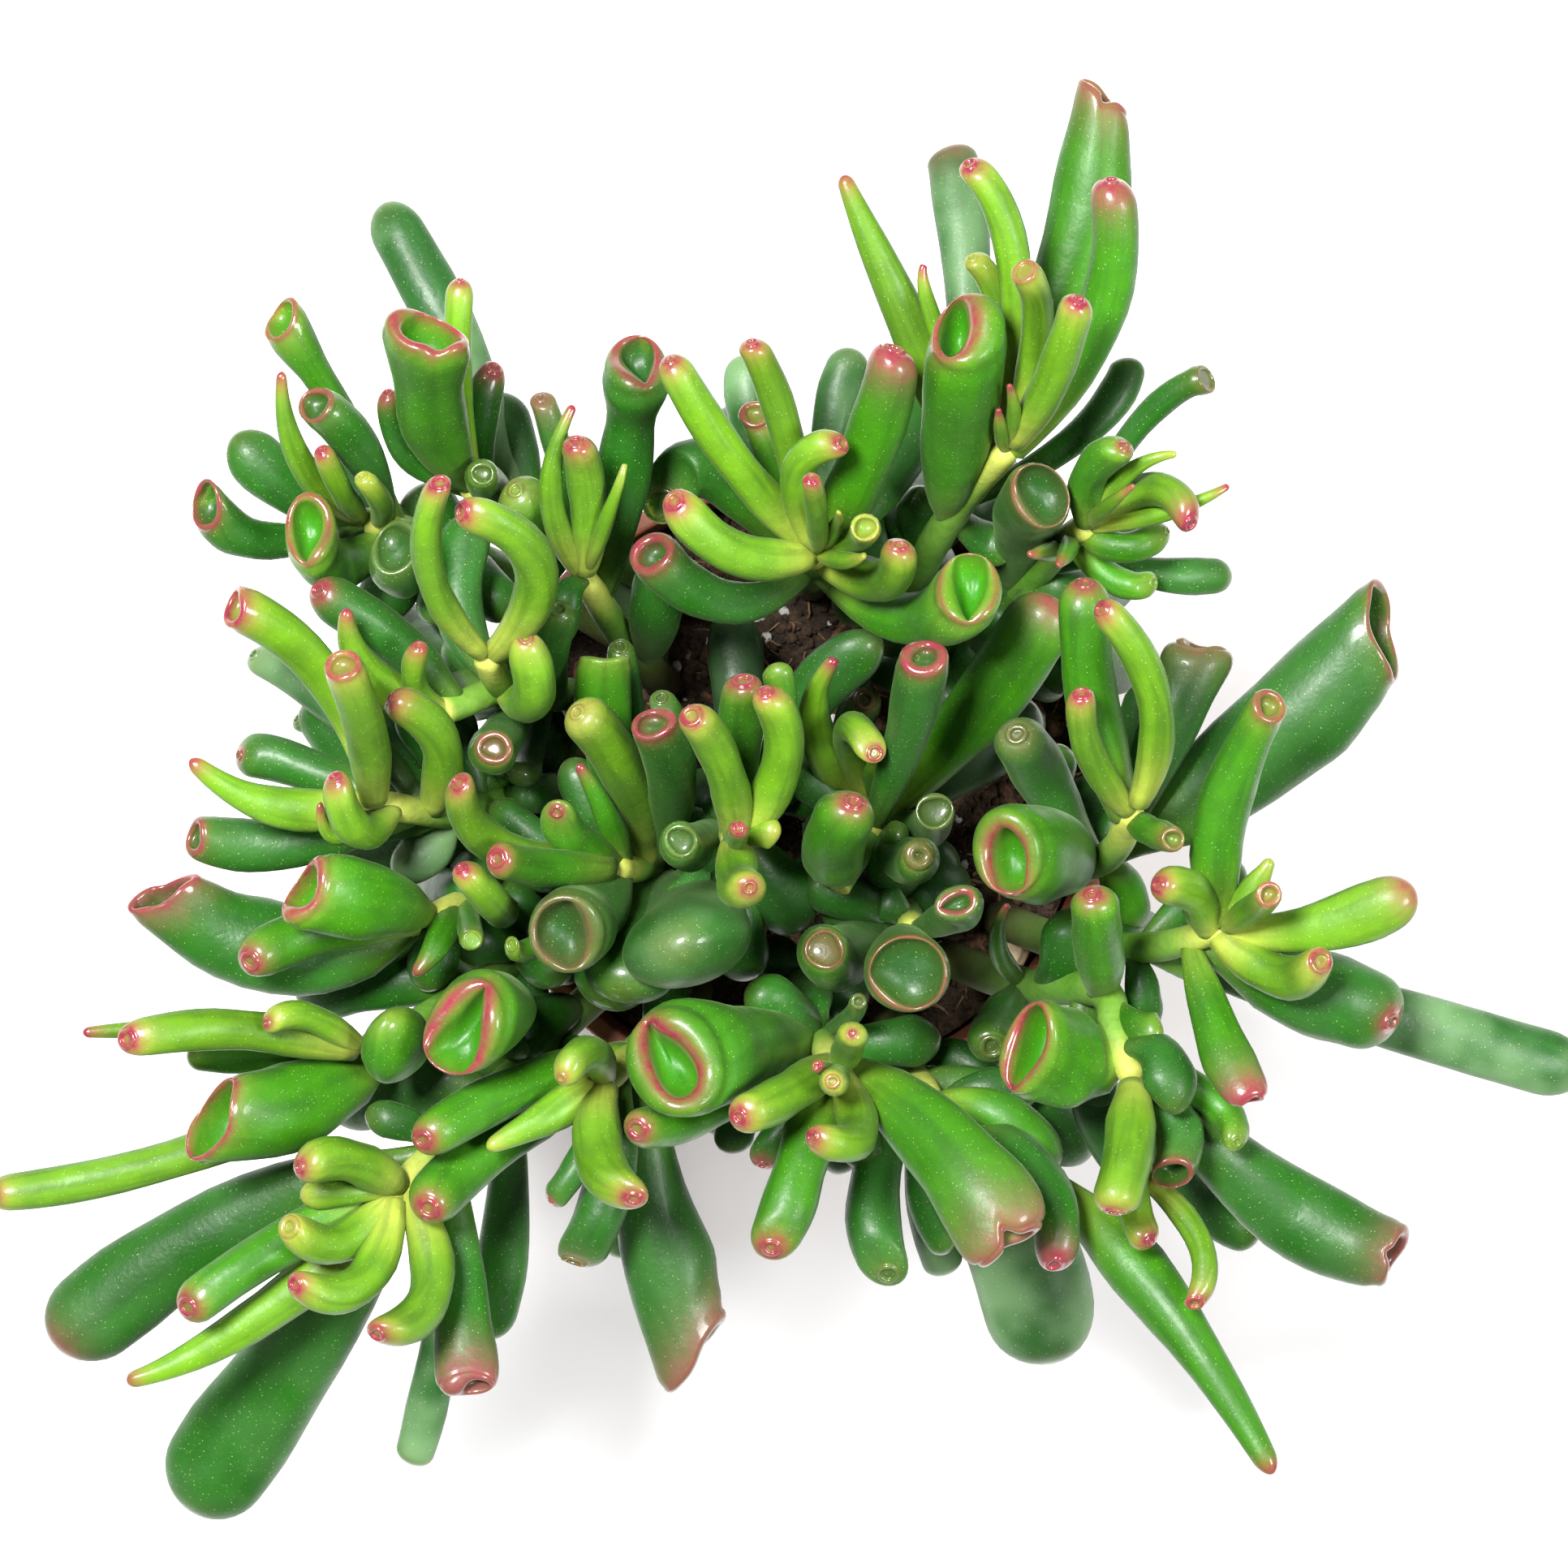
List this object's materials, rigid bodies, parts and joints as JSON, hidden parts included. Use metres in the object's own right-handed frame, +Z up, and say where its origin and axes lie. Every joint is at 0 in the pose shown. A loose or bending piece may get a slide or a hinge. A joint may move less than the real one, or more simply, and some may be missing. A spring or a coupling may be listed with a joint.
{
  "type": "potted hobbit jade",
  "caption": "Bushy succulent with fleshy tubular leaves that end in cupped red-rimmed tips, standing in soil in a plain round nursery pot.",
  "frame": {"origin": "middle of the pot's flat bottom, on the surface that it stands on", "axes": "+Z up along the pot's axis, +Y towards the top of the picture, +X to its right"},
  "size_m": [0.25, 0.2246, 0.1933],
  "materials": {
    "pot": "moulded, matt terracotta brown",
    "soil": "loose dark peat with bark fibres",
    "leaf": "waxy, smooth, green with red rims"
  },
  "bodies": {
    "root": {"pot": "pot", "soil": "soil", "shoot_north": "leaf", "shoot_north_east": "leaf", "shoot_east_north": "leaf", "shoot_east": "leaf", "shoot_east_low": "leaf", "shoot_south_east": "leaf", "shoot_south_right": "leaf", "shoot_middle_right": "leaf", "shoot_middle": "leaf", "shoot_centre": "leaf", "shoot_middle_left": "leaf", "shoot_north_left": "leaf", "shoot_north_west_inner": "leaf", "shoot_north_west": "leaf", "shoot_west_crown": "leaf", "shoot_west": "leaf", "shoot_west_mid": "leaf", "shoot_west_low": "leaf", "shoot_south_west": "leaf", "shoot_south_left": "leaf", "shoot_south": "leaf"}
  },
  "joints": []
}
